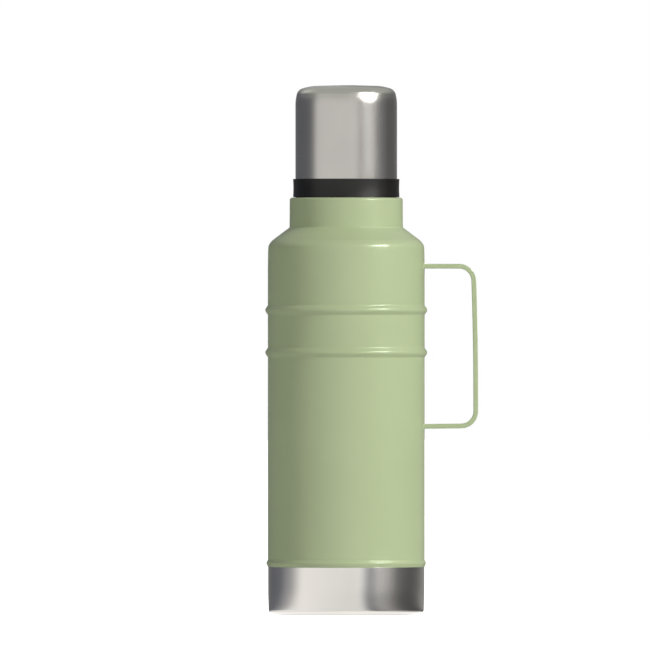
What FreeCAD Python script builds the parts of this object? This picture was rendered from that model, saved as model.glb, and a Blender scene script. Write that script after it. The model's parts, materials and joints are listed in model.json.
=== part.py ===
import FreeCAD
import Part
import math
import os

# Vacuum flask with a screw-on drinking cup, a screw stopper and a strap handle.
# Millimetres. The origin is the middle of the foot, +Z runs up the flask's axis
# and the handle is on the +X side.

# ---- Clearances ----
fit_gap = 0.05            # between sleeved or pressed pieces of one assembly
running_gap = 0.3         # between round faces that turn or slide past each other
seat_gap = 0.1            # between a seal and the face that it is pressed on

# ---- Neck, mouth and screw threads, from the bore outwards ----
neck_bore_r = 31.6        # inside radius of the liner's neck
liner_wall = 0.6
mouth_wall = 1.15         # threaded mouth ring, between the liner and its thread
thread_height = 1.4
thread_base = 1.8         # ridge width at the root
thread_crest = 0.9        # ridge width at the crest
thread_pitch = 4.0
thread_bite = 0.3         # how far a ridge's root goes into its wall
collar_wall = 3.47
neck_ledge = 2.53         # green ledge outside the collar
neck_taper = 0.15
neck_edge_round = 1.9
neck_height = 21.6
mouth_height = 14.9       # mouth ring above the neck's top
mouth_lip = 0.9           # thickness of the rolled lip over the liner's edge
mouth_flange = 2.6        # width of the ring's flange under the shell
mouth_flange_thickness = 1.2
mouth_tail = 2.0          # ring below its flange

# ---- Painted outer shell ----
body_r = 56.87
shell_wall = 0.8
body_length = 234.35      # from the base cup's edge to the shoulder's corner
shoulder_draw = 0.24      # the shell narrows a little before the shoulder
shoulder_draw_length = 19.0
shoulder_angle = 37.2     # degrees above level
shoulder_round = 6.0
skirt_length = 15.0       # shell that reaches down inside the base cup

# ---- Rolled beads on the shell ----
bead_height = 1.88
bead_flank_angle = 34.0   # degrees from the wall
bead_crest_round = 2.4
bead_root_round = 1.6
upper_bead_drop = 48.2    # below the shoulder's corner
bead_spacing = 30.75
edge_bead_height = 0.9
edge_bead_flank_angle = 28.0
edge_bead_crest_round = 3.2
edge_bead_root_round = 1.2
edge_step = 0.06          # shell's lower edge inside its own radius

# ---- Base cup ----
base_height = 34.55
base_inset = 0.22         # bare steel inside the painted radius
base_wall = 0.8
heel_inset = 0.45
heel_rise = 0.7
heel_round = 3.2
heel_taper_height = 16.0
foot_inner_r = 39.0
foot_outer_r = 46.0
foot_recess = 2.5
foot_recess_slope = 3.0
foot_round = 1.2

# ---- Vacuum liner and what lies in the vacuum ----
vacuum_gap = 4.0
liner_floor_gap = 6.55    # above the base plate
liner_floor_round = 12.5
liner_seam_rise = 14.0    # weld between the tube and its bottom, above the floor
liner_shoulder_drop = 4.4 # below the outer shoulder's corner
liner_shoulder_round = 4.0
liner_top_seam_drop = 2.2 # weld between the tube and its neck, below the liner's shoulder
throat_r = 28.0
throat_land = 1.6
throat_flank = 2.8
throat_depth = 31.7       # throat's upper edge below the mouth's lip
throat_round = 0.8
foil_thickness = 0.3
foil_end_gap = 9.0
base_plate_wall = 0.9
base_plate_drop = 10.0    # below the base cup's edge
base_plate_round = 4.0
dimple_r = 8.0
dimple_depth = 3.0
dimple_round = 1.2
solder_r = 4.0
solder_height = 1.6
getter_offset = 26.0
getter_r = 6.5
getter_height = 2.2
clip_wall = 0.5
clip_height = 3.0

# ---- Strap handle ----
strap_thickness = 3.38
strap_width = 19.0
strap_edge_round = 1.2
handle_drop = 16.33       # upper arm below the shoulder's corner
handle_height = 116.1     # between the middles of the two arms
handle_gap_depth = 33.58  # room for fingers behind the upper corner
handle_bend_drop = 50.0   # slight bend in the grip, below the upper arm
handle_bend_out = 1.7
handle_bend_round = 2400.0
handle_lean = 1.8         # how much further out the lower corner stands
handle_arm_rise = 0.4     # the lower arm rises a little outwards
handle_upper_round = 10.8
handle_lower_round = 10.6
weld_size = 0.5

# ---- Drinking cup ----
collar_height = 13.2
collar_gap = 0.3          # seam between the neck's top and the collar
collar_waist = 0.32
collar_waist_round = 70.0
collar_spigot_height = 6.5
collar_step_height = 11.9 # wide threaded bore, above the collar's lower edge
cup_inset = 1.72          # steel cup inside the collar's radius
cup_wall = 0.6
cup_height = 67.37
cup_crown = 0.6
cup_taper_drop = 10.6     # side leans in from here, below the rim of the crown
cup_taper_round = 25.0
cup_corner_drop = 2.73    # corner below the rim of the crown
cup_corner_inset = 1.6
cup_corner_round = 5.6
cup_crown_inset = 10.25
cup_crown_round = 30.0
cup_crown_flat_r = 6.0
cup_air_gap = 0.3
cup_top_gap = 1.0
cup_liner_wall = 1.8
cup_thread_rise = 3.5     # first ridge's middle above the neck's top
cup_thread_starts = 3
mouth_ridge_span = 130.0  # degrees
collar_ridge_span = 110.0
cup_seal_width = 1.6
cup_seal_height = 2.0

# ---- Stopper ----
stopper_wall = 3.0
stopper_floor = 3.0
stopper_lip_gap = 0.4     # cap above the mouth's lip
stopper_thread_drop = 16.0
stopper_thread_starts = 2
liner_ridge_span = 180.0
stopper_ridge_span = 300.0
stopper_seal_height = 3.0
stopper_seal_width = 4.4
foot_flange_height = 2.75
foot_edge_gap = 0.4
foot_edge_round = 1.2
pour_groove_width = 14.0
pour_groove_depth = 1.5
cap_height = 20.0
cap_overhang = 2.7        # cap outside the plug's core
cap_round = 2.5
cap_spigot = 3.0
cap_flute_count = 24
cap_flute_r = 1.5
cap_flute_depth = 0.7

# ---- Radii that follow ----
liner_neck_r = neck_bore_r + liner_wall
mouth_bore_r = liner_neck_r + fit_gap
mouth_r = mouth_bore_r + mouth_wall
mouth_thread_r = mouth_r + thread_height
collar_bore_r = mouth_thread_r + running_gap
collar_r = collar_bore_r + collar_wall
neck_r = collar_r + neck_ledge
shoulder_r = body_r - shoulder_draw
liner_r = body_r - shell_wall - vacuum_gap
liner_bore_r = liner_r - liner_wall
base_r = body_r - base_inset
skirt_r = base_r - base_wall - fit_gap
cup_r = collar_r - cup_inset
cup_bore_r = cup_r - cup_wall
cup_liner_r = cup_bore_r - cup_air_gap
cup_liner_bore_r = cup_liner_r - cup_liner_wall
stopper_r = neck_bore_r - thread_height - running_gap
stopper_bore_r = stopper_r - stopper_wall
stem_r = stopper_r - stopper_seal_width - running_gap
cap_r = stopper_r + cap_overhang

# ---- Heights that follow ----
base_plate_z = base_height - base_plate_drop
liner_floor_z = base_plate_z + base_plate_wall + liner_floor_gap
shoulder_z = base_height + body_length
shoulder_slope = math.tan(math.radians(shoulder_angle))
neck_base_z = shoulder_z + (shoulder_r - neck_r) * shoulder_slope
neck_top_z = neck_base_z + neck_height
mouth_top_z = neck_top_z + mouth_height
throat_z = mouth_top_z - throat_depth
liner_seam_z = liner_floor_z + liner_seam_rise
liner_shoulder_z = shoulder_z - liner_shoulder_drop
liner_top_seam_z = liner_shoulder_z - liner_top_seam_drop
liner_neck_z = liner_shoulder_z + (liner_bore_r - neck_bore_r) * shoulder_slope
collar_z = neck_top_z + collar_gap
collar_top_z = collar_z + collar_height
cup_top_z = collar_top_z + cup_height
plug_z = throat_z + seat_gap + stopper_seal_height + seat_gap
cap_z = mouth_top_z + stopper_lip_gap
handle_upper_z = shoulder_z - handle_drop
handle_lower_z = handle_upper_z - handle_height
ridge_shift = thread_pitch / 2      # one screw's ridges run midway between the other's

smallest_edge = 1e-5
axis_foot = FreeCAD.Vector(0, 0, 0)
axis_up = FreeCAD.Vector(0, 0, 1)


# ---- Outlines: lists of (radius, height, corner round) ----

def direction(start, end):
    along_r = end[0] - start[0]
    along_z = end[1] - start[1]
    length = math.hypot(along_r, along_z)
    return along_r / length, along_z / length


def corner_reach(before, at, after):
    # How far a corner's round reaches along its two legs, and half the angle between them.
    back = direction(at, before)
    ahead = direction(at, after)
    half = math.acos(max(-1.0, min(1.0, back[0] * ahead[0] + back[1] * ahead[1]))) / 2
    if at[2] <= 0 or half > math.radians(89.99):
        return 0, half
    return at[2] / math.tan(half), half


def rounded_corner(before, at, after, reach, half):
    # Start, middle and end of the arc that rounds one corner of an outline.
    if reach == 0:
        return [(at[0], at[1])]
    back = direction(at, before)
    ahead = direction(at, after)
    radius = reach * math.tan(half)
    inward = (radius / math.sin(half) - radius) / (2 * math.cos(half))
    start = (at[0] + back[0] * reach, at[1] + back[1] * reach)
    middle = (at[0] + (back[0] + ahead[0]) * inward, at[1] + (back[1] + ahead[1]) * inward)
    end = (at[0] + ahead[0] * reach, at[1] + ahead[1] * reach)
    return [start, middle, end]


def outline_corners(points):
    # The arcs of a closed outline; two rounds that would meet on a leg share its length.
    count = len(points)
    reaches = []
    for index, at in enumerate(points):
        reaches.append(corner_reach(points[index - 1], at, points[(index + 1) % count]))
    corners = []
    for index, at in enumerate(points):
        before = points[index - 1]
        after = points[(index + 1) % count]
        reach, half = reaches[index]
        room_before = math.dist(at[:2], before[:2]) / max(reach + reaches[index - 1][0], 1e-9)
        room_after = math.dist(at[:2], after[:2]) / max(reach + reaches[(index + 1) % count][0], 1e-9)
        reach = reach * min(1, room_before, room_after)
        corners.append(rounded_corner(before, at, after, reach, half))
    return corners


def outline_face(points):
    # Flat face in the XZ plane inside a closed outline.
    corners = outline_corners(points)
    edges = []
    for index, corner in enumerate(corners):
        arc = [FreeCAD.Vector(r, 0, z) for r, z in corner]
        following = corners[(index + 1) % len(corners)][0]
        target = FreeCAD.Vector(following[0], 0, following[1])
        if len(arc) == 3:
            edges.append(Part.Arc(*arc).toShape())
        if arc[-1].distanceToPoint(target) > smallest_edge:
            edges.append(Part.makeLine(arc[-1], target))
    return Part.Face(Part.Wire(edges))


def turned(points):
    return outline_face(points).revolve(axis_foot, axis_up, 360)


def offset_outline(points, distance):
    # An open outline moved to the left of its direction, with its rounds adjusted.
    moved = []
    for index, at in enumerate(points):
        before = points[max(index - 1, 0)]
        after = points[min(index + 1, len(points) - 1)]
        if index == 0:
            before = (2 * at[0] - after[0], 2 * at[1] - after[1])
        if index == len(points) - 1:
            after = (2 * at[0] - before[0], 2 * at[1] - before[1])
        coming = direction(before, at)
        going = direction(at, after)
        spread = 1 + coming[0] * going[0] + coming[1] * going[1]
        turn = coming[0] * going[1] - coming[1] * going[0]
        shift_r = -(coming[1] + going[1]) / spread * distance
        shift_z = (coming[0] + going[0]) / spread * distance
        corner = at[2]
        if corner > 0 and turn != 0:
            corner = max(corner - math.copysign(distance, turn), 0)
        moved.append((at[0] + shift_r, at[1] + shift_z, corner))
    return moved


def turned_sheet(points, wall):
    # A turned sheet; a positive wall lies to the left of the outline's direction.
    return turned(points + offset_outline(points, wall)[::-1])


def joined(base, added):
    return base.fuse(added).Solids[0]


def trimmed(base, removed):
    return base.cut(removed).Solids[0]


def thread_ridges(root_r, crest_r, start_z, starts, span):
    # Right-handed ridges of one multi-start thread, with starts * pitch of lead.
    lead = starts * thread_pitch
    path = Part.Wire(Part.makeHelix(lead, lead * span / 360, max(root_r, crest_r)))
    ridges = []
    for number in range(starts):
        section = Part.makePolygon([
            FreeCAD.Vector(root_r, 0, -thread_base / 2),
            FreeCAD.Vector(crest_r, 0, -thread_crest / 2),
            FreeCAD.Vector(crest_r, 0, thread_crest / 2),
            FreeCAD.Vector(root_r, 0, thread_base / 2),
            FreeCAD.Vector(root_r, 0, -thread_base / 2),
        ])
        ridge = path.makePipeShell([section], True, True)
        ridge.rotate(axis_foot, axis_up, 360 * number / starts)
        ridge.translate(FreeCAD.Vector(0, 0, start_z))
        ridges.append(ridge)
    return ridges


# ---- Flask body ----

def bead_points(z):
    # One rolled bead: two sloping flanks that meet in a round crest.
    flank = math.radians(bead_flank_angle)
    apex = bead_height + bead_crest_round * (1 / math.cos(flank) - 1)
    foot = apex / math.tan(flank)
    return [
        (body_r, z - foot, bead_root_round),
        (body_r + apex, z, bead_crest_round),
        (body_r, z + foot, bead_root_round),
    ]


def make_body_shell():
    upper_bead_z = shoulder_z - upper_bead_drop
    edge_flank = math.radians(edge_bead_flank_angle)
    edge_apex = edge_bead_height + edge_bead_crest_round * (1 / math.cos(edge_flank) - 1)
    edge_crest_z = base_height + (edge_apex + edge_step) / math.tan(edge_flank)
    outline = [
        (skirt_r, base_height - skirt_length, 0),
        (skirt_r, base_height, 0),
        (body_r - edge_step, base_height, 0),
        (body_r + edge_apex, edge_crest_z, edge_bead_crest_round),
        (body_r, edge_crest_z + edge_apex / math.tan(edge_flank), edge_bead_root_round),
    ]
    outline += bead_points(upper_bead_z - bead_spacing)
    outline += bead_points(upper_bead_z)
    outline += [
        (body_r, shoulder_z - shoulder_draw_length, 0),
        (shoulder_r, shoulder_z, shoulder_round),
        (neck_r, neck_base_z, 0),
        (neck_r - neck_taper, neck_top_z, neck_edge_round),
        (mouth_r + fit_gap, neck_top_z, 0),
    ]
    return turned_sheet(outline, shell_wall)


def make_mouth_ring():
    flange_z = neck_top_z - shell_wall
    ring = turned([
        (mouth_bore_r, flange_z - mouth_flange_thickness - mouth_tail, 0),
        (mouth_r, flange_z - mouth_flange_thickness - mouth_tail, 0),
        (mouth_r, flange_z - mouth_flange_thickness, 0),
        (mouth_r + mouth_flange, flange_z - mouth_flange_thickness, 0),
        (mouth_r + mouth_flange, flange_z, 0),
        (mouth_r, flange_z, 0),
        (mouth_r, mouth_top_z, mouth_lip),
        (neck_bore_r, mouth_top_z, mouth_lip / 2),
        (neck_bore_r, mouth_top_z - mouth_lip, 0),
        (mouth_bore_r, mouth_top_z - mouth_lip, 0),
    ])
    start_z = neck_top_z + cup_thread_rise
    ridges = thread_ridges(mouth_r - thread_bite, mouth_thread_r, start_z,
                           cup_thread_starts, mouth_ridge_span)
    return joined(ring, ridges)


def make_liner_tube():
    return turned([
        (liner_bore_r, liner_seam_z, 0),
        (liner_r, liner_seam_z, 0),
        (liner_r, liner_top_seam_z, 0),
        (liner_bore_r, liner_top_seam_z, 0),
    ])


def make_liner_neck():
    # The inner vessel's shoulder, its rolled-in throat and the stopper's thread.
    throat_low_z = throat_z - throat_land
    bore_outline = [
        (liner_bore_r, liner_top_seam_z, 0),
        (liner_bore_r, liner_shoulder_z, liner_shoulder_round),
        (neck_bore_r, liner_neck_z, throat_round),
        (neck_bore_r, throat_low_z - throat_flank, throat_round),
        (throat_r, throat_low_z, throat_round),
        (throat_r, throat_z, throat_round),
        (neck_bore_r, throat_z + throat_flank, throat_round),
        (neck_bore_r, mouth_top_z - mouth_lip, 0),
    ]
    neck = turned_sheet(bore_outline, -liner_wall)
    start_z = mouth_top_z - stopper_thread_drop
    ridges = thread_ridges(neck_bore_r + thread_bite, neck_bore_r - thread_height, start_z,
                           stopper_thread_starts, liner_ridge_span)
    return joined(neck, ridges)


def make_liner_bottom():
    outline = [
        (0, liner_floor_z, 0),
        (liner_r, liner_floor_z, liner_floor_round),
        (liner_r, liner_seam_z, 0),
    ]
    return turned_sheet(outline, liner_wall)


def make_foil_wrap():
    foil_r = liner_r + fit_gap
    low_z = liner_seam_z + foil_end_gap
    high_z = liner_shoulder_z - foil_end_gap
    return turned([
        (foil_r, low_z, 0),
        (foil_r + foil_thickness, low_z, 0),
        (foil_r + foil_thickness, high_z, 0),
        (foil_r, high_z, 0),
    ])


def make_base_plate():
    # Closes the vacuum space below, with a dimple for the evacuation seal.
    rim_r = skirt_r - shell_wall - fit_gap - base_plate_wall
    outline = [
        (0, base_plate_z - dimple_depth, 0),
        (dimple_r - dimple_depth, base_plate_z - dimple_depth, dimple_round),
        (dimple_r, base_plate_z, dimple_round),
        (rim_r, base_plate_z, base_plate_round),
        (rim_r, base_height - skirt_length, 0),
    ]
    return turned_sheet(outline, base_plate_wall)


def make_solder_bead():
    seat_z = base_plate_z - dimple_depth
    return turned([
        (0, seat_z - solder_height, 0),
        (solder_r, seat_z - solder_height, solder_height),
        (solder_r, seat_z, 0),
        (0, seat_z, 0),
    ])


def make_getter_clip():
    floor_z = base_plate_z + base_plate_wall
    outer_r = getter_r + fit_gap + clip_wall
    outline = [
        (0, floor_z, 0),
        (outer_r, floor_z, 0),
        (outer_r, floor_z + clip_height, 0),
    ]
    clip = turned_sheet(outline, clip_wall)
    clip.translate(FreeCAD.Vector(getter_offset, 0, 0))
    return clip


def make_getter_pellet():
    floor_z = base_plate_z + base_plate_wall + clip_wall
    return Part.makeCylinder(getter_r, getter_height, FreeCAD.Vector(getter_offset, 0, floor_z))


def make_base_cup():
    outline = [
        (0, foot_recess, 0),
        (foot_inner_r - foot_recess_slope, foot_recess, foot_round),
        (foot_inner_r, 0, foot_round),
        (foot_outer_r, 0, 0),
        (base_r - heel_inset, heel_rise, heel_round),
        (base_r, heel_taper_height, 0),
        (base_r, base_height - seat_gap, 0),
    ]
    return turned_sheet(outline, base_wall)


def make_handle_strap():
    upper_x = body_r + handle_gap_depth + strap_thickness / 2
    root_x = body_r - strap_thickness
    middle = [
        (root_x, handle_upper_z, 0),
        (upper_x, handle_upper_z, handle_upper_round),
        (upper_x + handle_bend_out, handle_upper_z - handle_bend_drop, handle_bend_round),
        (upper_x + handle_lean, handle_lower_z + handle_arm_rise, handle_lower_round),
        (root_x, handle_lower_z, 0),
    ]
    outside = offset_outline(middle, strap_thickness / 2)
    inside = offset_outline(middle, -strap_thickness / 2)
    face = outline_face(outside + inside[::-1])
    face.translate(FreeCAD.Vector(0, -strap_width / 2, 0))
    strap = face.extrude(FreeCAD.Vector(0, strap_width, 0))
    side_edges = []
    for edge in strap.Edges:
        box = edge.BoundBox
        if box.YLength < 1e-6 and max(box.XLength, box.ZLength) > strap_thickness + 1:
            side_edges.append(edge)
    strap = strap.makeFillet(strap_edge_round, side_edges)
    core = Part.makeCylinder(body_r, shoulder_z, axis_foot)
    return trimmed(strap, [core])


def weld_section(x, z, growth):
    half_y = strap_width / 2 + growth
    half_z = strap_thickness / 2 + growth
    return Part.makePolygon([
        FreeCAD.Vector(x, -half_y, z - half_z),
        FreeCAD.Vector(x, half_y, z - half_z),
        FreeCAD.Vector(x, half_y, z + half_z),
        FreeCAD.Vector(x, -half_y, z + half_z),
        FreeCAD.Vector(x, -half_y, z - half_z),
    ])


def make_handle_weld(z, strap):
    # Fillet weld all round one arm of the strap, where it meets the shell.
    sagitta = body_r - math.sqrt(body_r ** 2 - (strap_width / 2 + weld_size) ** 2)
    block = Part.makeLoft([
        weld_section(body_r - sagitta - weld_size, z, 2 * weld_size + sagitta),
        weld_section(body_r + weld_size, z, 0.1),
    ], True, True)
    core = Part.makeCylinder(body_r, shoulder_z, axis_foot)
    return trimmed(block, [core, strap])


# ---- Drinking cup ----

def cup_outline(radius, low_z, top_z):
    # Cup wall from its open edge up and over to the middle of the crown.
    return [
        (radius, low_z, 0),
        (radius, top_z - cup_taper_drop, cup_taper_round),
        (radius - cup_corner_inset, top_z - cup_corner_drop, cup_corner_round),
        (radius - cup_crown_inset, top_z, cup_crown_round),
        (cup_crown_flat_r, top_z + cup_crown, 0),
        (0, top_z + cup_crown, 0),
    ]


def make_cup_shell():
    return turned_sheet(cup_outline(cup_r, collar_top_z, cup_top_z), cup_wall)


def make_cup_liner():
    low_z = collar_top_z + collar_spigot_height
    inset_top_z = cup_top_z - cup_wall - cup_top_gap
    return turned_sheet(cup_outline(cup_liner_r, low_z, inset_top_z), cup_liner_wall)


def make_cup_collar():
    step_z = collar_z + collar_step_height
    seal_top_z = neck_top_z + seat_gap + cup_seal_height + seat_gap
    seal_outer_r = collar_bore_r + seat_gap + cup_seal_width + running_gap
    collar = turned([
        (seal_outer_r, collar_z, 0),
        (collar_r, collar_z, 0),
        (collar_r - collar_waist, (collar_z + collar_top_z) / 2, collar_waist_round),
        (collar_r, collar_top_z, 0),
        (cup_bore_r - fit_gap, collar_top_z, 0),
        (cup_bore_r - fit_gap, collar_top_z + collar_spigot_height, 0),
        (cup_liner_bore_r, collar_top_z + collar_spigot_height, 0),
        (cup_liner_bore_r, step_z, 0),
        (collar_bore_r, step_z, 0),
        (collar_bore_r, seal_top_z, 0),
        (seal_outer_r, seal_top_z, 0),
    ])
    start_z = neck_top_z + cup_thread_rise + ridge_shift
    ridges = thread_ridges(collar_bore_r + thread_bite, mouth_r + running_gap, start_z,
                           cup_thread_starts, collar_ridge_span)
    return joined(collar, ridges)


def make_cup_gasket():
    low_z = neck_top_z + seat_gap
    inner_r = collar_bore_r + seat_gap
    return turned([
        (inner_r, low_z, 0),
        (inner_r + cup_seal_width, low_z, 0),
        (inner_r + cup_seal_width, low_z + cup_seal_height, 0),
        (inner_r, low_z + cup_seal_height, 0),
    ])


# ---- Stopper ----

def make_stopper_body():
    plug = turned([
        (0, plug_z, 0),
        (stopper_r, plug_z, foot_edge_round),
        (stopper_r, cap_z, 0),
        (stopper_bore_r, cap_z, 0),
        (stopper_bore_r, plug_z + stopper_floor, 0),
        (0, plug_z + stopper_floor, 0),
    ])
    lead = stopper_thread_starts * thread_pitch
    start_z = mouth_top_z - stopper_thread_drop + ridge_shift - lead / 2
    ridges = thread_ridges(stopper_r - thread_bite, neck_bore_r - running_gap, start_z,
                           stopper_thread_starts, stopper_ridge_span)
    grooves = []
    for side in (-1, 1):
        near_y = side * (stopper_r - pour_groove_depth)
        far_y = side * (neck_bore_r + thread_height)
        groove = Part.makeBox(pour_groove_width, abs(far_y - near_y), cap_z - plug_z + 2)
        corner_y = min(near_y, far_y)
        groove.translate(FreeCAD.Vector(-pour_groove_width / 2, corner_y, plug_z - 1))
        grooves.append(groove)
    return trimmed(joined(plug, ridges), grooves)


def make_stopper_gasket():
    low_z = throat_z + seat_gap
    inner_r = stem_r + running_gap
    seat_slope = throat_flank / (neck_bore_r - throat_r)
    edge_z = low_z + (stopper_r - throat_r) * seat_slope
    return turned([
        (inner_r, low_z, 0),
        (throat_r, low_z, 0),
        (stopper_r, edge_z, 0),
        (stopper_r, low_z + stopper_seal_height, 0),
        (inner_r, low_z + stopper_seal_height, 0),
    ])


def make_stopper_foot():
    flange_r = throat_r - foot_edge_gap
    return turned([
        (0, throat_z - foot_flange_height, 0),
        (flange_r, throat_z - foot_flange_height, foot_edge_round),
        (flange_r, throat_z, 0),
        (stem_r, throat_z, 0),
        (stem_r, plug_z, 0),
        (0, plug_z, 0),
    ])


def make_stopper_foam():
    low_z = plug_z + stopper_floor
    height = cap_z - cap_spigot - low_z
    return Part.makeCylinder(stopper_bore_r - fit_gap, height, FreeCAD.Vector(0, 0, low_z))


def make_stopper_cap():
    cap = turned([
        (0, cap_z - cap_spigot, 0),
        (stopper_bore_r - fit_gap, cap_z - cap_spigot, 0),
        (stopper_bore_r - fit_gap, cap_z, 0),
        (cap_r, cap_z, cap_flute_depth),
        (cap_r, cap_z + cap_height, cap_round),
        (0, cap_z + cap_height, 0),
    ])
    flutes = []
    flute_ring_r = cap_r + cap_flute_r - cap_flute_depth
    for number in range(cap_flute_count):
        angle = 2 * math.pi * number / cap_flute_count
        foot = FreeCAD.Vector(flute_ring_r * math.cos(angle), flute_ring_r * math.sin(angle),
                              cap_z - 1)
        flutes.append(Part.makeCylinder(cap_flute_r, cap_height + 2, foot))
    return trimmed(cap, flutes)


# ---- Build and write ----

handle_strap = make_handle_strap()
pieces = {
    "body_shell": make_body_shell(),
    "mouth_ring": make_mouth_ring(),
    "liner_tube": make_liner_tube(),
    "liner_neck": make_liner_neck(),
    "liner_bottom": make_liner_bottom(),
    "foil_wrap": make_foil_wrap(),
    "base_plate": make_base_plate(),
    "solder_bead": make_solder_bead(),
    "getter_clip": make_getter_clip(),
    "getter_pellet": make_getter_pellet(),
    "base_cup": make_base_cup(),
    "handle_strap": handle_strap,
    "handle_weld_upper": make_handle_weld(handle_upper_z, handle_strap),
    "handle_weld_lower": make_handle_weld(handle_lower_z, handle_strap),
    "cup_gasket": make_cup_gasket(),
    "cup_shell": make_cup_shell(),
    "cup_liner": make_cup_liner(),
    "cup_collar": make_cup_collar(),
    "stopper_gasket": make_stopper_gasket(),
    "stopper_foot": make_stopper_foot(),
    "stopper_body": make_stopper_body(),
    "stopper_foam": make_stopper_foam(),
    "stopper_cap": make_stopper_cap(),
}

os.makedirs("parts", exist_ok=True)
for name, shape in pieces.items():
    shape.exportStep("parts/" + name + ".step")
    print(name, len(shape.Solids), shape.isValid(), round(shape.Volume, 1),
          round(shape.BoundBox.ZMin, 2), round(shape.BoundBox.ZMax, 2))
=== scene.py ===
import bmesh
import bpy
import json
import math
from mathutils import Matrix, Vector


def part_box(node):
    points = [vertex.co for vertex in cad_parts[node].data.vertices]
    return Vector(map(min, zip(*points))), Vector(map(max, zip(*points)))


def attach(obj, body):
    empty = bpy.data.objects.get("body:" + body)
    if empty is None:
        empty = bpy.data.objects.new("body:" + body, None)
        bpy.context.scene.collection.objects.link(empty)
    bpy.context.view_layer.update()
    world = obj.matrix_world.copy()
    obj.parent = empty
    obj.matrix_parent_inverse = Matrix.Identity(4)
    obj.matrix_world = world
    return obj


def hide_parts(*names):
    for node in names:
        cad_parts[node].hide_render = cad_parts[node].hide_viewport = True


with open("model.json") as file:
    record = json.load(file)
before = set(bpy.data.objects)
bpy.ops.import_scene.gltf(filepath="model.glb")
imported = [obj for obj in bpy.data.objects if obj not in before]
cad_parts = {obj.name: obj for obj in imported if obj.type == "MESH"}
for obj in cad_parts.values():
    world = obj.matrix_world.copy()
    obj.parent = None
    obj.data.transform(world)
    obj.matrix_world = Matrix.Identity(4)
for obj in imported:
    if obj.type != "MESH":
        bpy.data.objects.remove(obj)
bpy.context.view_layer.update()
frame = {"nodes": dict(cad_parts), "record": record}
nodes = frame["nodes"]
mm = 0.001
print("stage: frame loaded")

turnSteps = 224              # facets round a turned piece
arcSteps = 8                 # facets along a rounded corner
longestLeg = 5 * mm          # straight stretches are divided to this length
outlineMerge = 0.002 * mm    # an outline's points closer than this become one
turnMerge = 0.001 * mm
sharpFrom = 32               # degrees from which an edge is shaded sharp
faceWeight = 60              # how far large faces rule the shading beside small rounds
rimSteps = 3
rimFrom = 50                 # degrees from which a rim is rounded


def cornerReach(before, at, after, roundness):
    # how far a round of this radius reaches along its two legs
    back = (Vector(before) - Vector(at)).normalized()
    ahead = (Vector(after) - Vector(at)).normalized()
    return roundness / math.tan(back.angle(ahead) / 2)


def drawOutline(bm, corners):
    # joins (radius, height, round) corners in the XZ plane and makes an arc of each round
    verts = [bm.verts.new((radius, 0, height)) for radius, height, roundness in corners]
    for start, end in zip(verts, verts[1:]):
        bm.edges.new((start, end))
    for index, (radius, height, roundness) in enumerate(corners):
        if roundness > 0:
            before = corners[index - 1][:2]
            after = corners[index + 1][:2]
            reach = cornerReach(before, (radius, height), after, roundness)
            bmesh.ops.bevel(bm, geom=[verts[index]], offset=reach, offset_type="OFFSET",
                            affect="VERTICES", segments=arcSteps, profile=0.5, material=-1)
    bmesh.ops.remove_doubles(bm, verts=bm.verts, dist=outlineMerge)
    for edge in list(bm.edges):
        cuts = int(edge.calc_length() / longestLeg)
        if cuts > 0:
            bmesh.ops.subdivide_edges(bm, edges=[edge], cuts=cuts)


def spinRound(bm, steps):
    bmesh.ops.spin(bm, geom=bm.verts[:] + bm.edges[:], cent=(0, 0, 0), axis=(0, 0, 1),
                   dvec=(0, 0, 0), angle=math.tau, steps=steps, use_merge=True)


def finishPiece(name, bm, body, slot, replaced):
    mesh = bpy.data.meshes.new(name)
    bm.to_mesh(mesh)
    bm.free()
    mesh.shade_smooth()
    mesh.set_sharp_from_angle(angle=math.radians(sharpFrom))
    mesh.materials.append(finishes[slot])
    piece = bpy.data.objects.new(name, mesh)
    bpy.context.scene.collection.objects.link(piece)
    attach(piece, body)
    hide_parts(*replaced)
    return piece


def turnPiece(name, corners, wall, body, slot, replaced):
    # a sheet turned from its outline, with its wall added inwards
    bm = bmesh.new()
    drawOutline(bm, corners)
    spinRound(bm, turnSteps)
    bmesh.ops.remove_doubles(bm, verts=bm.verts, dist=turnMerge)
    bmesh.ops.recalc_face_normals(bm, faces=bm.faces)
    piece = finishPiece(name, bm, body, slot, replaced)
    thicken = piece.modifiers.new("wall", "SOLIDIFY")
    thicken.thickness = wall
    thicken.offset = -1
    thicken.use_even_offset = True
    thicken.use_quality_normals = True
    return piece


def softenRims(piece, width):
    # rounds the sheet's cut edges
    rims = piece.modifiers.new("rims", "BEVEL")
    rims.width = width
    rims.segments = rimSteps
    rims.limit_method = "ANGLE"
    rims.angle_limit = math.radians(rimFrom)


def levelNormals(piece):
    # keeps long straight faces flat beside small rounds
    level = piece.modifiers.new("levelNormals", "WEIGHTED_NORMAL")
    level.keep_sharp = True
    level.weight = faceWeight


def mapRange(tree, source, fromRange, toRange, smooth=False):
    ranged = tree.nodes.new("ShaderNodeMapRange")
    if smooth:
        ranged.interpolation_type = "SMOOTHSTEP"
    ranged.inputs["From Min"].default_value = fromRange[0]
    ranged.inputs["From Max"].default_value = fromRange[1]
    ranged.inputs["To Min"].default_value = toRange[0]
    ranged.inputs["To Max"].default_value = toRange[1]
    tree.links.new(source, ranged.inputs["Value"])
    return ranged.outputs["Result"]


def combine(tree, operation, first, second):
    both = tree.nodes.new("ShaderNodeMath")
    both.operation = operation
    tree.links.new(first, both.inputs[0])
    tree.links.new(second, both.inputs[1])
    return both.outputs[0]


def newColourMix(tree, factor):
    # its colours are inputs 6 and 7, and the mix is output 2
    mix = tree.nodes.new("ShaderNodeMix")
    mix.data_type = "RGBA"
    tree.links.new(factor, mix.inputs[0])
    return mix


noiseRange = (0.35, 0.65)    # where most of a noise's values lie


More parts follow.
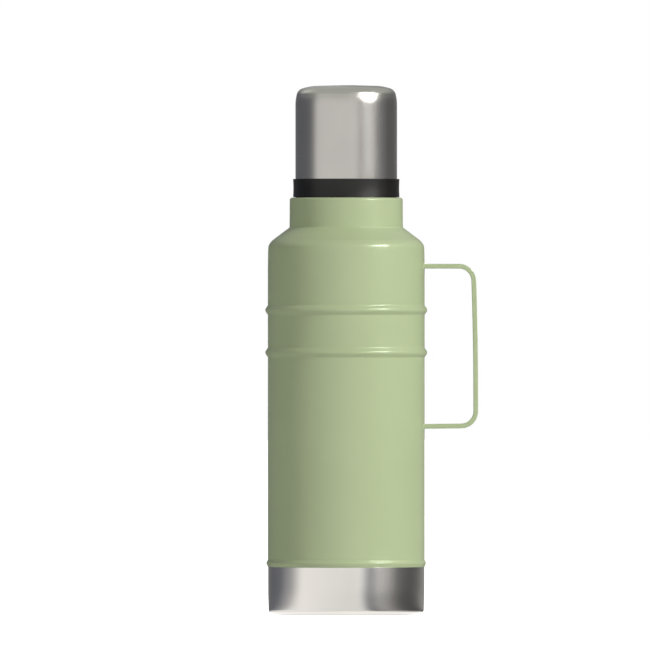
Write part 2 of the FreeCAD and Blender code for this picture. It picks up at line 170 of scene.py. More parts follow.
def newFinish(name, colour, roughness, metallic=0.0):
    finish = bpy.data.materials.new(name)
    finish.use_nodes = True
    tree = finish.node_tree
    surface = tree.nodes["Principled BSDF"]
    surface.inputs["Base Color"].default_value = (*colour, 1)
    surface.inputs["Roughness"].default_value = roughness
    surface.inputs["Metallic"].default_value = metallic
    place = tree.nodes.new("ShaderNodeTexCoord")
    return finish, tree, surface, place


def addGrain(tree, place, scale, detail, stretch=(1, 1, 1)):
    # noise on the piece's own coordinates; stretch above 1 packs it tighter along that axis
    mapping = tree.nodes.new("ShaderNodeMapping")
    mapping.inputs["Scale"].default_value = stretch
    grain = tree.nodes.new("ShaderNodeTexNoise")
    grain.inputs["Scale"].default_value = scale
    grain.inputs["Detail"].default_value = detail
    tree.links.new(place.outputs["Object"], mapping.inputs["Vector"])
    tree.links.new(mapping.outputs["Vector"], grain.inputs["Vector"])
    return grain.outputs["Fac"]


def varyRoughness(tree, surface, grain, middle, drift):
    rough = mapRange(tree, grain, noiseRange, (middle - drift, middle + drift))
    tree.links.new(rough, surface.inputs["Roughness"])


def varyColour(tree, surface, grain, dark, light):
    mix = newColourMix(tree, mapRange(tree, grain, noiseRange, (0, 1)))
    mix.inputs[6].default_value = (*dark, 1)
    mix.inputs[7].default_value = (*light, 1)
    tree.links.new(mix.outputs[2], surface.inputs["Base Color"])


def addBump(tree, surface, height, strength, depth):
    bump = tree.nodes.new("ShaderNodeBump")
    bump.inputs["Strength"].default_value = strength
    bump.inputs["Distance"].default_value = depth
    tree.links.new(height, bump.inputs["Height"])
    tree.links.new(bump.outputs["Normal"], surface.inputs["Normal"])


# scales of noise are per metre
coat = {
    "light": (0.475, 0.555, 0.325),
    "dark": (0.460, 0.538, 0.312),
    "roughness": 0.24,
    "roughDrift": 0.03,
    "specular": 0.38,
    "driftScale": 14,        # slow drift of colour
    "peelScale": 900,        # orange peel of the baked coat
    "peelStrength": 0.05,
    "peelDepth": 0.05 * mm,
    "speckScale": 2600,      # duller and glossier specks
}


def makeCoat():
    finish, tree, surface, place = newFinish("sageCoat", coat["light"], coat["roughness"])
    surface.inputs["Specular IOR Level"].default_value = coat["specular"]
    drift = addGrain(tree, place, coat["driftScale"], detail=3)
    varyColour(tree, surface, drift, coat["dark"], coat["light"])
    peel = addGrain(tree, place, coat["peelScale"], detail=2)
    speck = addGrain(tree, place, coat["speckScale"], detail=1)
    varyRoughness(tree, surface, speck, coat["roughness"], coat["roughDrift"])
    addBump(tree, surface, peel, coat["peelStrength"], coat["peelDepth"])
    return finish


steel = {
    "ringScale": 60,
    "ringStretch": (1, 1, 90),    # packs the noise along the axis into fine rings
    "ringDepth": 0.02 * mm,
    "sheenScale": 35,
    "driftScale": 18,
    "darkShare": 0.95,
}


def makeSteel(name, colour, roughness, ringStrength=0.08, sheenDrift=0.03):
    # fine rings from polishing round the axis, and a slow change of sheen and colour
    finish, tree, surface, place = newFinish(name, colour, roughness, metallic=1.0)
    rings = addGrain(tree, place, steel["ringScale"], detail=2, stretch=steel["ringStretch"])
    sheen = addGrain(tree, place, steel["sheenScale"], detail=3)
    varyRoughness(tree, surface, sheen, roughness, sheenDrift)
    drift = addGrain(tree, place, steel["driftScale"], detail=2)
    darker = tuple(steel["darkShare"] * channel for channel in colour)
    varyColour(tree, surface, drift, darker, colour)
    addBump(tree, surface, rings, ringStrength, steel["ringDepth"])
    return finish


plastic = {
    "grainDepth": 0.04 * mm,
    "sheenScale": 90,
    "sheenDrift": 0.05,
    "driftScale": 40,
    "darkShare": 0.85,
}


def makePlastic(name, colour, roughness, grainScale=1400, grainStrength=0.15, specular=0.5):
    # moulded or powdery stuff with a fine grain
    finish, tree, surface, place = newFinish(name, colour, roughness)
    surface.inputs["Specular IOR Level"].default_value = specular
    grain = addGrain(tree, place, grainScale, detail=3)
    sheen = addGrain(tree, place, plastic["sheenScale"], detail=3)
    varyRoughness(tree, surface, sheen, roughness, plastic["sheenDrift"])
    drift = addGrain(tree, place, plastic["driftScale"], detail=2)
    darker = tuple(plastic["darkShare"] * channel for channel in colour)
    varyColour(tree, surface, drift, darker, colour)
    addBump(tree, surface, grain, grainStrength, plastic["grainDepth"])
    return finish


finishes = {
    "green_coat": makeCoat(),
    "bare_steel": makeSteel("satinSteel", (0.742, 0.712, 0.668), 0.20, sheenDrift=0.008),
    "mouth_steel": makeSteel("turnedSteel", (0.68, 0.66, 0.63), 0.25, ringStrength=0.2),
    "liner_steel": makeSteel("linerSteel", (0.60, 0.59, 0.57), 0.3),
    "plate_steel": makeSteel("plateSteel", (0.56, 0.56, 0.55), 0.35),
    "foil": makeSteel("brightFoil", (0.85, 0.85, 0.86), 0.18),
    "solder_glass": makePlastic("solderGlass", (0.16, 0.18, 0.20), 0.12),
    "getter": makePlastic("getterPowder", (0.12, 0.12, 0.13), 0.8, grainScale=2200, grainStrength=0.6),
    "black_plastic": makePlastic("blackMoulding", (0.0042, 0.0035, 0.0027), 0.36, specular=0.45),
    "stopper_plastic": makePlastic("charcoalMoulding", (0.030, 0.031, 0.033), 0.45),
    "black_rubber": makePlastic("blackSilicone", (0.012, 0.012, 0.012), 0.6),
    "clear_silicone": makePlastic("naturalSilicone", (0.55, 0.53, 0.47), 0.5),
    "foam": makePlastic("insulatingFoam", (0.70, 0.64, 0.48), 0.9, grainScale=700, grainStrength=0.7),
}
for part in frame["record"]["subparts"]:
    nodeMesh = nodes[part["node"]].data
    nodeMesh.materials.clear()
    nodeMesh.materials.append(finishes[part["material_slot"]])
print("stage: finishes made")

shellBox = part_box("body_shell")
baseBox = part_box("base_cup")
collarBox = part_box("cup_collar")
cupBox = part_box("cup_shell")
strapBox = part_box("handle_strap")

# the painted shell; angles are in degrees
shell = {
    "wall": 0.8 * mm,
    "beadHeight": 1.88 * mm,
    "beadFlank": 34,                 # from the wall
    "beadCrestRound": 2.4 * mm,
    "beadRootRound": 1.6 * mm,
    "upperBeadDrop": 48.2 * mm,      # below the shoulder's corner
    "beadSpacing": 30.75 * mm,
    "shoulderDraw": 0.24 * mm,       # how much narrower the shoulder's corner is than the body
    "shoulderDrawLength": 19 * mm,
    "shoulderAngle": 37.2,           # from level
    "leanDrop": 4.8 * mm,            # the wall leans inwards from here to the shoulder's corner
    "leanInset": 0.16 * mm,
    "lean": 5,
    "leanRound": 30 * mm,
    "shoulderBreak": 25,             # the shoulder's round is tighter below this slope than above it
    "shoulderRound": 4 * mm,
    "upperRound": 11 * mm,
    "neckHeight": 21.6 * mm,
    "neckLedge": 2.53 * mm,          # outside the collar
    "neckTaper": 0.15 * mm,
    "neckEdgeRound": 1.9 * mm,
    "neckFootRound": 1.15 * mm,
    "mouthHole": 33.45 * mm,
    "edgeSeam": 0.1 * mm,            # between the base's rim and the edge bead
    "edgeStep": 0.06 * mm,
    "edgeHeight": 1.05 * mm,
    "edgeRise": 2.95 * mm,           # from the seam up to the edge bead's crest
    "edgeFlank": 28,
    "edgeCrestRound": 1.4 * mm,
    "edgeRootRound": 0.8 * mm,
    "skirtInset": 1.07 * mm,         # the shell's lower end, inside the base
}
bodyRadius = shellBox[1].y - shell["beadHeight"]
edgeZ = baseBox[1].z + shell["edgeSeam"]
neckTopZ = shellBox[1].z
neckRadius = collarBox[1].y + shell["neckLedge"]
shoulderRadius = bodyRadius - shell["shoulderDraw"]
shoulderRise = (shoulderRadius - neckRadius) * math.tan(math.radians(shell["shoulderAngle"]))
neckBaseZ = neckTopZ - shell["neckHeight"]
shoulderZ = neckBaseZ - shoulderRise


def flankApex(height, crestRound, flank):
    # where a bead's flanks would meet above its rounded crest
    return height + crestRound * (1 / math.cos(flank) - 1)


def beadCorners(z):
    # two sloping flanks that meet in a round crest
    crest = shell["beadCrestRound"]
    root = shell["beadRootRound"]
    flank = math.radians(shell["beadFlank"])
    apex = flankApex(shell["beadHeight"], crest, flank)
    foot = apex / math.tan(flank)
    return [(bodyRadius, z - foot, root), (bodyRadius + apex, z, crest), (bodyRadius, z + foot, root)]


def edgeCorners():
    # the skirt inside the base, the step over its rim, and the bead above
    skirtRadius = bodyRadius - shell["skirtInset"]
    flank = math.radians(shell["edgeFlank"])
    apex = flankApex(shell["edgeHeight"], shell["edgeCrestRound"], flank)
    crestZ = edgeZ + shell["edgeRise"]
    return [
        (skirtRadius, shellBox[0].z, 0),
        (skirtRadius, edgeZ, 0),
        (bodyRadius - shell["edgeStep"], edgeZ, 0),
        (bodyRadius + apex, crestZ, shell["edgeCrestRound"]),
        (bodyRadius, crestZ + apex / math.tan(flank), shell["edgeRootRound"]),
    ]


def shoulderCorners():
    leanZ = shoulderZ - shell["leanDrop"]
    leanRadius = bodyRadius - shell["leanInset"]
    lean = math.radians(shell["lean"])
    slope = math.radians(90 - shell["shoulderAngle"])
    spread = math.tan(slope) - math.tan(lean)
    rise = (shell["leanDrop"] * math.tan(slope) + leanRadius - shoulderRadius) / spread
    cornerRadius = leanRadius - rise * math.tan(lean)
    # the corner between lean and slope is cut at the break, and each half gets its own round
    lowerTurn = math.radians(shell["shoulderBreak"]) - lean
    upperTurn = slope - math.radians(shell["shoulderBreak"])
    cut = shell["shoulderRound"] * math.tan(lowerTurn / 2) + shell["upperRound"] * math.tan(upperTurn / 2)
    back = cut * math.sin(upperTurn) / math.sin(slope - lean)
    ahead = cut * math.sin(lowerTurn) / math.sin(slope - lean)
    return [
        (bodyRadius, shoulderZ - shell["shoulderDrawLength"], 0),
        (leanRadius, leanZ, shell["leanRound"]),
        (cornerRadius + back * math.sin(lean), leanZ + rise - back * math.cos(lean), shell["shoulderRound"]),
        (cornerRadius - ahead * math.sin(slope), leanZ + rise + ahead * math.cos(slope), shell["upperRound"]),
    ]


def makeShell():
    upperZ = shoulderZ - shell["upperBeadDrop"]
    neckCorners = [
        (neckRadius, neckBaseZ, shell["neckFootRound"]),
        (neckRadius - shell["neckTaper"], neckTopZ, shell["neckEdgeRound"]),
        (shell["mouthHole"], neckTopZ, 0),
    ]
    corners = edgeCorners() + beadCorners(upperZ - shell["beadSpacing"]) + beadCorners(upperZ)
    corners += shoulderCorners() + neckCorners
    piece = turnPiece("shellCoat", corners, shell["wall"], "flask", "green_coat", ["body_shell"])
    levelNormals(piece)


makeShell()
print("stage: shell made")

# the bare-steel base
base = {
    "wall": 0.8 * mm,
    "heelInset": 0.45 * mm,
    "heelRise": 0.7 * mm,
    "heelRound": 3.2 * mm,
    "taperHeight": 16 * mm,
    "footInner": 39 * mm,
    "footOuter": 46 * mm,
    "footRound": 1.2 * mm,
    "recess": 2.5 * mm,
    "recessSlope": 3 * mm,
    "rimRound": 0.05 * mm,
}


def makeBase():
    baseRadius = baseBox[1].y
    corners = [
        (0, base["recess"], 0),
        (base["footInner"] - base["recessSlope"], base["recess"], base["footRound"]),
        (base["footInner"], 0, base["footRound"]),
        (base["footOuter"], 0, 0),
        (baseRadius - base["heelInset"], base["heelRise"], base["heelRound"]),
        (baseRadius, base["taperHeight"], 0),
        (baseRadius, baseBox[1].z, 0),
    ]
    piece = turnPiece("baseSkirt", corners, base["wall"], "flask", "bare_steel", ["base_cup"])
    softenRims(piece, base["rimRound"])
    levelNormals(piece)


makeBase()
print("stage: base made")

# the strap handle
strap = {
    "thickness": 3.38 * mm,
    "edgeRound": 0.6 * mm,
    "edgeSteps": 5,
    "acrossCuts": 8,
    "gapDepth": 33.58 * mm,
    "armSpacing": 116.1 * mm,
    "lean": 1.8 * mm,
    "bendDrop": 50 * mm,         # the grip bends slightly at this height
    "bendOut": 1.7 * mm,
    "bendRound": 2400 * mm,
    "armRise": 0.4 * mm,
    "upperRound": 10.8 * mm,
    "lowerRound": 10.6 * mm,
    "runStep": 6 * mm,
    "bendStep": 6,               # degrees
    "fewestBendSteps": 8,
    "sunk": 0.05 * mm,           # into the shell's wall
}
strapWidth = strapBox[1].y - strapBox[0].y
upperArmZ = strapBox[1].z - strap["thickness"] / 2
lowerArmZ = upperArmZ - strap["armSpacing"]
gripX = bodyRadius + strap["gapDepth"] + strap["thickness"] / 2


def strapSection(bm, x, z, growth=0.0):
    # rounded rectangle across the strap, in the YZ plane
    halfY = strapWidth / 2 + growth
    halfZ = strap["thickness"] / 2 + growth
    verts = [bm.verts.new((x, y, z + dz)) for y, dz in
             ((-halfY, -halfZ), (halfY, -halfZ), (halfY, halfZ), (-halfY, halfZ))]
    for start, end in zip(verts, verts[1:] + verts[:1]):
        bm.edges.new((start, end))
    for vert in verts:
        bmesh.ops.bevel(bm, geom=[vert], offset=strap["edgeRound"] + growth, offset_type="OFFSET",
                        affect="VERTICES", segments=strap["edgeSteps"], profile=0.5, material=-1)
    across = [edge for edge in bm.edges if edge.calc_length() > longestLeg]
    bmesh.ops.subdivide_edges(bm, edges=across, cuts=strap["acrossCuts"])
    return bm.verts[:], bm.edges[:]


def carryOn(bm, verts, edges, steps, dvec=(0, 0, 0), cent=(0, 0, 0), axis=(0, 1, 0), angle=0):
    # takes a section along a straight run or round a bend and gives the last one
    last = bmesh.ops.spin(bm, geom=verts + edges, cent=cent, axis=axis, dvec=dvec,
                          angle=angle, steps=steps)["geom_last"]
    lastVerts = [part for part in last if isinstance(part, bmesh.types.BMVert)]
    lastEdges = [part for part in last if isinstance(part, bmesh.types.BMEdge)]
    return lastVerts, lastEdges


def closeEnds(bm, firstVerts, lastVerts):
    bmesh.ops.contextual_create(bm, geom=firstVerts)
    bmesh.ops.contextual_create(bm, geom=lastVerts)
    bmesh.ops.recalc_face_normals(bm, faces=bm.faces)


def makeStrap():
    # (x, z, round) corners from the upper arm's root to the lower one's
    path = [
        (bodyRadius, upperArmZ, 0),
        (gripX, upperArmZ, strap["upperRound"]),
        (gripX + strap["bendOut"], upperArmZ - strap["bendDrop"], strap["bendRound"]),
        (gripX + strap["lean"], lowerArmZ + strap["armRise"], strap["lowerRound"]),
        (bodyRadius, lowerArmZ, 0),
    ]
    bm = bmesh.new()
    verts, edges = strapSection(bm, path[0][0], path[0][1])
    firstVerts = list(verts)
    used = 0.0
    for index in range(1, len(path)):
        start = Vector((path[index - 1][0], 0, path[index - 1][1]))
        corner = Vector((path[index][0], 0, path[index][1]))
        heading = (corner - start).normalized()
        turns = index < len(path) - 1
        reach = 0.0
        if turns:
            reach = cornerReach(path[index - 1][:2], path[index][:2], path[index + 1][:2], path[index][2])
        runLength = (corner - start).length - used - reach
        runSteps = max(int(runLength / strap["runStep"]), 1)
        verts, edges = carryOn(bm, verts, edges, runSteps, dvec=heading * runLength / runSteps)
        used = reach
        if turns:
            following = Vector((path[index + 1][0], 0, path[index + 1][1]))
            onward = (following - corner).normalized()
            turn = heading.angle(onward)
            inward = (onward - heading).normalized()
            centre = corner + inward * path[index][2] / math.cos(turn / 2)
            side = 1 if heading.cross(onward).y > 0 else -1
            bendSteps = max(int(math.degrees(turn) / strap["bendStep"]), strap["fewestBendSteps"])
            verts, edges = carryOn(bm, verts, edges, bendSteps, cent=centre, axis=(0, side, 0), angle=turn)
    for vert in firstVerts + verts:
        # the two ends follow the shell's curve
        vert.co.x = math.sqrt((bodyRadius - strap["sunk"]) ** 2 - vert.co.y ** 2)
    closeEnds(bm, firstVerts, verts)
    levelNormals(finishPiece("strapHandle", bm, "flask", "green_coat", ["handle_strap"]))


makeStrap()

# the welds round the strap's ends
weld = {
    "size": 0.9 * mm,      # how far the hollow fillet reaches along the wall and along the strap
    "rings": 6,
    "sunk": 0.05 * mm,     # into the wall and the strap
}


def makeWeld(name, z, node):
    bm = bmesh.new()
    firstVerts, firstEdges = strapSection(bm, 0, z, weld["size"])
    ringStep = weld["size"] / weld["rings"]
    lastVerts, lastEdges = carryOn(bm, firstVerts, firstEdges, weld["rings"], dvec=(ringStep, 0, 0))
    flatY = strapWidth / 2 - strap["edgeRound"]
    flatZ = strap["thickness"] / 2 - strap["edgeRound"]
    for vert in bm.verts:
        # draws each ring in towards the strap along a quarter circle and curves it with the wall
        away = vert.co.x
        share = 1 - away / weld["size"]
        growth = weld["size"] * (1 - math.sqrt(max(1 - share * share, 0))) - weld["sunk"]
        core = Vector((0, min(max(vert.co.y, -flatY), flatY), z + min(max(vert.co.z - z, -flatZ), flatZ)))
        outward = (Vector((0, vert.co.y, vert.co.z)) - core).normalized()
        spot = core + outward * (strap["edgeRound"] + growth)
        vert.co = (math.sqrt(bodyRadius ** 2 - spot.y ** 2) + away - weld["sunk"], spot.y, spot.z)
    closeEnds(bm, firstVerts, lastVerts)
    finishPiece(name, bm, "flask", "green_coat", [node])


makeWeld("upperWeld", upperArmZ, "handle_weld_upper")
makeWeld("lowerWeld", lowerArmZ, "handle_weld_lower")
print("stage: handle made")

# the drinking cup's outside
cup = {
    "wall": 0.6 * mm,
    "crown": 0.6 * mm,           # how far the top is domed
    "crownInset": 10.25 * mm,
    "crownRound": 30 * mm,
    "crownFlat": 6 * mm,
    "taperDrop": 10.6 * mm,
    "taperRound": 25 * mm,
    "cornerDrop": 2.73 * mm,
    "cornerInset": 1.6 * mm,
    "cornerRound": 5.6 * mm,
    "rimRound": 0.12 * mm,
}


def makeCup():
    cupRadius = cupBox[1].y
    topZ = cupBox[1].z
    crownZ = topZ - cup["crown"]
    corners = [
        (cupRadius, cupBox[0].z, 0),
        (cupRadius, crownZ - cup["taperDrop"], cup["taperRound"]),
        (cupRadius - cup["cornerInset"], crownZ - cup["cornerDrop"], cup["cornerRound"]),
        (cupRadius - cup["crownInset"], crownZ, cup["crownRound"]),
        (cup["crownFlat"], topZ, 0),
        (0, topZ, 0),
    ]
    piece = turnPiece("cupSteel", corners, cup["wall"], "cup", "bare_steel", ["cup_shell"])
    softenRims(piece, cup["rimRound"])
    levelNormals(piece)


makeCup()
print("stage: cup made")


def newGlow(name, level=1.0):
    glow = bpy.data.materials.new(name)
    glow.use_nodes = True
    tree = glow.node_tree
    tree.nodes.clear()
    shine = tree.nodes.new("ShaderNodeEmission")
    shine.inputs["Strength"].default_value = level
    output = tree.nodes.new("ShaderNodeOutputMaterial")
    tree.links.new(shine.outputs["Emission"], output.inputs["Surface"])
    return glow, tree, shine


def towards(azimuth, rise, distance, origin):
    # azimuth 0 is the camera's side and + is its right; both angles are in degrees
    turn = math.radians(azimuth)
    lift = math.radians(rise)
    way = Vector((math.sin(turn) * math.cos(lift), -math.cos(turn) * math.cos(lift), math.sin(lift)))
    return origin + distance * way


def placeCard(name, bm, glow):
    # a card that only shows in reflections
    mesh = bpy.data.meshes.new(name)
    bm.to_mesh(mesh)
    bm.free()
    mesh.materials.append(glow)
    card = bpy.data.objects.new(name, mesh)
    bpy.context.scene.collection.objects.link(card)
    card.visible_camera = False
    card.visible_diffuse = False
    card.visible_shadow = False
    card.visible_transmission = False


floor = {
    "size": 60.0,
    "colour": (0.85, 0.85, 0.85),
    "roughness": 0.9,
    "clearing": (0.05, 0.14),    # between these distances from the axis
    "glow": (0.66, 0.95),        # its light grows so much, which lets the shadow fade out
    "sheen": 0.34,               # what metal shows of the floor, beside its own light
}


def makeFloor():
    bm = bmesh.new()
    bmesh.ops.create_grid(bm, x_segments=1, y_segments=1, size=floor["size"] / 2)
    mesh = bpy.data.meshes.new("floor")
    bm.to_mesh(mesh)
    bm.free()
    paper, tree, surface, place = newFinish("whiteFloor", floor["colour"], floor["roughness"])
    path = tree.nodes.new("ShaderNodeLightPath")
    seen = combine(tree, "MAXIMUM", path.outputs["Is Camera Ray"], path.outputs["Is Transmission Ray"])
    away = tree.nodes.new("ShaderNodeVectorMath")
    away.operation = "LENGTH"
    tree.links.new(place.outputs["Object"], away.inputs[0])
    clearing = mapRange(tree, away.outputs["Value"], floor["clearing"], floor["glow"], smooth=True)
    glow = tree.nodes.new("ShaderNodeMath")
    glow.operation = "MULTIPLY_ADD"
    glow.inputs[1].default_value = floor["sheen"]
    tree.links.new(path.outputs["Is Glossy Ray"], glow.inputs[0])
    tree.links.new(combine(tree, "MULTIPLY", seen, clearing), glow.inputs[2])
    surface.inputs["Emission Color"].default_value = (1, 1, 1, 1)
    tree.links.new(glow.outputs[0], surface.inputs["Emission Strength"])
    mesh.materials.append(paper)
    ground = bpy.data.objects.new("floor", mesh)
    bpy.context.scene.collection.objects.link(ground)


# the world is white where it is seen; as a light it is soft, with these levels by direction
daylight = {
    "side": 0.24,
    "front": 0.34,
    "leftFill": 0.40,         # what straight left adds
    "leftFrom": 0.3,          # it starts this far to the left
    "rearFill": 0.12,
    "rearFrom": 0.2,
    "aboveShare": 0.55,       # what is left of the level high up
    "aboveFrom": 0.8,
    "colour": (0.97, 1, 0.95),
}


def makeWorld():
    world = bpy.data.worlds.new("studio")
    bpy.context.scene.world = world
    world.use_nodes = True
    tree = world.node_tree
    tree.nodes.clear()
    path = tree.nodes.new("ShaderNodeLightPath")
    direct = combine(tree, "MAXIMUM", path.outputs["Is Camera Ray"], path.outputs["Is Glossy Ray"])
    seen = combine(tree, "MAXIMUM", direct, path.outputs["Is Transmission Ray"])
    place = tree.nodes.new("ShaderNodeTexCoord")
    parts = tree.nodes.new("ShaderNodeSeparateXYZ")
    tree.links.new(place.outputs["Generated"], parts.inputs["Vector"])
    across = mapRange(tree, parts.outputs["Y"], (0, -1), (daylight["side"], daylight["front"]))
    fromLeft = mapRange(tree, parts.outputs["X"], (-daylight["leftFrom"], -1), (0, daylight["leftFill"]))
    fromRear = mapRange(tree, parts.outputs["Y"], (daylight["rearFrom"], 1), (0, daylight["rearFill"]))
    around = combine(tree, "ADD", combine(tree, "ADD", across, fromLeft), fromRear)
    upwards = mapRange(tree, parts.outputs["Z"], (0, daylight["aboveFrom"]), (1, daylight["aboveShare"]))
    white = tree.nodes.new("ShaderNodeBackground")
    white.inputs["Color"].default_value = (1, 1, 1, 1)
    soft = tree.nodes.new("ShaderNodeBackground")
    soft.inputs["Color"].default_value = (*daylight["colour"], 1)
    tree.links.new(combine(tree, "MULTIPLY", around, upwards), soft.inputs["Strength"])
    mix = tree.nodes.new("ShaderNodeMixShader")
    output = tree.nodes.new("ShaderNodeOutputWorld")
    tree.links.new(seen, mix.inputs[0])
    tree.links.new(soft.outputs[0], mix.inputs[1])
    tree.links.new(white.outputs[0], mix.inputs[2])
    tree.links.new(mix.outputs[0], output.inputs["Surface"])


# the tent that metal and coat reflect: mats on the floor, two walls and a dome, shaded by azimuth
tent = {
    "radius": 0.9,
    "split": 0.19,             # the low wall stops here, the high one goes on
    "top": 0.40,               # above it the dome carries the high wall's shades
    "overFloor": 0.6 * mm,     # height of the mats
    "heelHole": 0.052,         # the mat under the heel starts here
    "heelHeight": 0.1 * mm,    # and rises from this height
    "heelLevel": 1.2,
    "footHole": 0.0572,        # the ring round the foot starts here
    "footWidth": 4.5 * mm,
    "footReach": 0.12,         # how far from the foot the mat's shades are set out
    "steps": 96,
    "coolRed": 0.04,           # what a coolness of 1 takes from the red and adds to the blue
    "coolBlue": 0.14,
    # azimuth (0 is the camera's side, + is its right), level, coolness
    "lowWall": [
        (-180, 0.33, 0), (-159, 0.20, 0.1), (-140, 0.135, 0.9), (-122, 0.155, 1.3), (-108, 0.16, 1.2),
        (-97, 0.28, 0.6), (-86, 0.365, 0.2), (-76, 0.655, 0), (-67, 1.05, 0), (-35, 1.05, 0), (10, 0.98, 0),
        (20, 1.13, 0.1), (26, 0.86, 0.3), (32, 0.385, 0.6), (40, 0.465, 0.5), (49, 0.72, 0.1), (65, 0.52, 0),
        (74, 0.29, 0), (83, 0.165, 0.3), (105, 0.10, 0.4), (118, 0.11, 0.3), (134, 0.165, 0), (159, 0.33, 0),
    ],
    "highWall": [
        (-180, 0.46, 0.2), (-166, 0.17, 0.6), (-150, 0.12, 0.9), (-132, 0.115, 1.1), (-106, 0.12, 1.2),
        (-92, 0.13, 0.8), (-81, 0.22, 0.3), (-68, 0.62, 0), (-50, 0.655, 0), (14, 0.65, 0), (22, 0.62, 0),
        (31, 0.42, 0), (41, 0.46, 0), (51, 0.51, 0), (61, 0.385, 0), (74, 0.26, 0.2), (88, 0.165, 0.4),
        (108, 0.105, 0.5), (132, 0.11, 0), (160, 0.185, 0), (168, 0.23, 0),
    ],
    "footRing": [
        (-180, 0.50, 0), (-105, 0.36, 0.3), (-82, 0.80, 0), (-62, 1.02, 0), (0, 1.12, 0), (20, 1.08, 0),
        (36, 0.92, 0), (48, 0.68, 0), (61, 0.42, 0), (72, 0.32, 0), (86, 0.38, 0), (115, 0.30, 0),
    ],
    # azimuth, and the mat's level there as a share of the low wall's
    "matShade": [
        (-180, 1), (-115, 1), (-95, 1.3), (-76, 1.1), (-50, 1), (0, 0.94), (18, 0.82), (30, 0.48),
        (60, 0.48), (90, 0.62), (120, 0.75), (180, 1),
    ],
}
dome = {
    "radius": 4.0,
    "segments": 48,
    "rings": 24,
    "fade": (0.66, 2.85),            # between these heights its shades fade into one level
    "level": 0.45,
    "tone": (0.98, 1.03, 0.97),
}


def newWallGlow(name, levels, fades=False):
    # a level for each azimuth round the axis; on the dome they fade into one with height
    glow, tree, shine = newGlow(name)
    place = tree.nodes.new("ShaderNodeTexCoord")
    turned = tree.nodes.new("ShaderNodeMapping")
    turned.inputs["Rotation"].default_value[2] = math.pi / 2
    around = tree.nodes.new("ShaderNodeTexGradient")
    around.gradient_type = "RADIAL"
    ramp = tree.nodes.new("ShaderNodeValToRGB")
    stops = ramp.color_ramp.elements
    while len(stops) < len(levels):
        stops.new(0.5)
    for stop, (azimuth, level, coolness) in zip(stops, levels):
        red = level * (1 - tent["coolRed"] * coolness)
        blue = level * (1 + tent["coolBlue"] * coolness)
        stop.position = azimuth / 360 + 0.5
        stop.color = (red, level, blue, 1)
    tree.links.new(place.outputs["Object"], turned.inputs["Vector"])
    tree.links.new(turned.outputs["Vector"], around.inputs["Vector"])
    tree.links.new(around.outputs["Fac"], ramp.inputs["Fac"])
    shades = ramp.outputs["Color"]
    if fades:
        parts = tree.nodes.new("ShaderNodeSeparateXYZ")
        tree.links.new(place.outputs["Object"], parts.inputs["Vector"])
        mix = newColourMix(tree, mapRange(tree, parts.outputs["Z"], dome["fade"], (0, 1), smooth=True))
        tree.links.new(shades, mix.inputs[6])
        mix.inputs[7].default_value = (*(dome["level"] * share for share in dome["tone"]), 1)
        shades = mix.outputs[2]
    tree.links.new(shades, shine.inputs["Color"])
    return glow


def makeWall(name, corners, glow):
    # a turned wall or mat from its (radius, height) corners
    bm = bmesh.new()
    verts = [bm.verts.new((0, -radius, height)) for radius, height in corners]
    for start, end in zip(verts, verts[1:]):
        bm.edges.new((start, end))
    spinRound(bm, tent["steps"])
    placeCard(name, bm, glow)


def shadeAt(azimuth):
    stops = tent["matShade"]
    for (before, low), (after, high) in zip(stops, stops[1:]):
        if azimuth <= after:
            return low + (high - low) * (azimuth - before) / (after - before)


def matLevels():
    # the low wall's shades carried over the mat, set where the base's side shows them near the foot
    levels = []
    for azimuth, level, coolness in tent["lowWall"]:
        turn = math.radians(azimuth)
        level = level * shadeAt(azimuth)
        if azimuth > 0:
            out = Vector((math.sin(turn / 2), math.cos(turn / 2))) * baseBox[1].y
            out += Vector((math.sin(turn), math.cos(turn))) * tent["footReach"]
            azimuth = math.degrees(math.atan2(out.x, out.y))
        levels.append((azimuth, level, coolness))
    return levels


def makeTent():
    floorZ = tent["overFloor"]
    radius = tent["radius"]
    footHole = tent["footHole"]
    footEdge = footHole + tent["footWidth"]
    heelGlow = newGlow("heelGlow", tent["heelLevel"])[0]
    makeWall("heelMat", [(tent["heelHole"], tent["heelHeight"]), (footHole, floorZ)], heelGlow)
    footGlow = newWallGlow("footGlow", tent["footRing"])
    makeWall("footRing", [(footHole, floorZ), (footEdge, floorZ)], footGlow)
    matGlow = newWallGlow("matGlow", matLevels())
    makeWall("mat", [(footEdge, floorZ), (radius, floorZ)], matGlow)
    lowGlow = newWallGlow("lowWallGlow", tent["lowWall"])
    makeWall("lowWall", [(radius, floorZ), (radius, tent["split"])], lowGlow)
    highGlow = newWallGlow("highWallGlow", tent["highWall"])
    makeWall("highWall", [(radius, tent["split"]), (radius, tent["top"])], highGlow)


def makeDome():
    bm = bmesh.new()
    bmesh.ops.create_uvsphere(bm, u_segments=dome["segments"], v_segments=dome["rings"],
                              radius=dome["radius"])
    below = [vert for vert in bm.verts if vert.co.z < -10 * mm]
    bmesh.ops.delete(bm, geom=below, context="VERTS")
    placeCard("dome", bm, newWallGlow("domeGlow", tent["highWall"], fades=True))


# round cards whose light fades outwards; a disc is (full to this radius, gone at this one, level)
softCards = {
    "aimHeight": 0.34,
    "distance": 2.4,
    "segments": 64,
    "key": {"azimuth": 56, "rise": 28, "discs": [(0.18, 0.63, 52), (0.60, 1.02, 1.1), (0.80, 1.50, 0.3)]},
    "patch": {"azimuth": -131, "rise": 31, "discs": [(0.05, 1.0, 0.26)]},
}


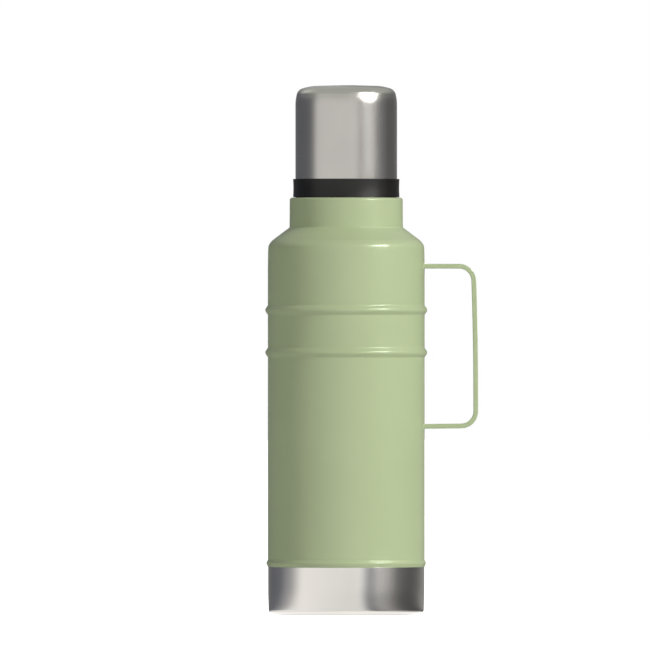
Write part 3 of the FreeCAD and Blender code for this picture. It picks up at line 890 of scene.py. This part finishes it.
def makeSoftCard(name, card):
    middle = Vector((0, 0, softCards["aimHeight"]))
    spot = towards(card["azimuth"], card["rise"], softCards["distance"], middle)
    facing = (middle - spot).to_track_quat("Z", "Y").to_matrix().to_4x4()
    widest = max(gone for full, gone, level in card["discs"])
    bm = bmesh.new()
    bmesh.ops.create_circle(bm, cap_ends=True, segments=softCards["segments"], radius=widest,
                            matrix=Matrix.Translation(spot) @ facing)
    glow, tree, shine = newGlow(name + "Glow")
    place = tree.nodes.new("ShaderNodeTexCoord")
    away = tree.nodes.new("ShaderNodeVectorMath")
    away.operation = "DISTANCE"
    away.inputs[1].default_value = spot
    tree.links.new(place.outputs["Object"], away.inputs[0])
    fades = [mapRange(tree, away.outputs["Value"], (full, gone), (level, 0), smooth=True)
             for full, gone, level in card["discs"]]
    total = fades[0]
    for fade in fades[1:]:
        total = combine(tree, "ADD", total, fade)
    tree.links.new(total, shine.inputs["Strength"])
    # the card's light adds to what is behind it
    behind = tree.nodes.new("ShaderNodeBsdfTransparent")
    both = tree.nodes.new("ShaderNodeAddShader")
    tree.links.new(shine.outputs[0], both.inputs[0])
    tree.links.new(behind.outputs[0], both.inputs[1])
    tree.links.new(both.outputs[0], tree.nodes["Material Output"].inputs["Surface"])
    placeCard(name, bm, glow)


# the key lamp, which reflections don't show
keyLamp = {
    "azimuth": 49,
    "rise": 30,
    "distance": 8.0,
    "aimHeight": 0.2,
    "size": 2.2,
    "energy": 476,
}


def makeKeyLamp():
    light = bpy.data.lights.new("keyLamp", "AREA")
    light.shape = "DISK"
    light.size = keyLamp["size"]
    light.energy = keyLamp["energy"]
    lamp = bpy.data.objects.new("keyLamp", light)
    bpy.context.scene.collection.objects.link(lamp)
    middle = Vector((0, 0, keyLamp["aimHeight"]))
    lamp.location = towards(keyLamp["azimuth"], keyLamp["rise"], keyLamp["distance"], middle)
    lamp.rotation_euler = (middle - lamp.location).to_track_quat("-Z", "Y").to_euler()
    lamp.visible_glossy = False


# a long lens from far away, level with the middle of the flask
view = {
    "lens": 1500,
    "frameWidth": 471.25 * mm,
    "aimX": -15.4 * mm,
    "aimZ": 209.93 * mm,
    "clip": (1, 100),
}


def makeCamera():
    camera = bpy.data.cameras.new("camera")
    camera.lens = view["lens"]
    distance = view["frameWidth"] / 2 / (camera.sensor_width / 2 / camera.lens)
    camera.clip_start, camera.clip_end = view["clip"]
    eye = bpy.data.objects.new("camera", camera)
    bpy.context.scene.collection.objects.link(eye)
    eye.location = (view["aimX"], -distance, view["aimZ"])
    eye.rotation_euler = (math.pi / 2, 0, 0)
    bpy.context.scene.camera = eye


makeFloor()
makeWorld()
makeTent()
makeDome()
makeSoftCard("keyCard", softCards["key"])
makeSoftCard("patchCard", softCards["patch"])
makeKeyLamp()
makeCamera()
bpy.context.scene.view_settings.view_transform = "Standard"
print("stage: studio made")
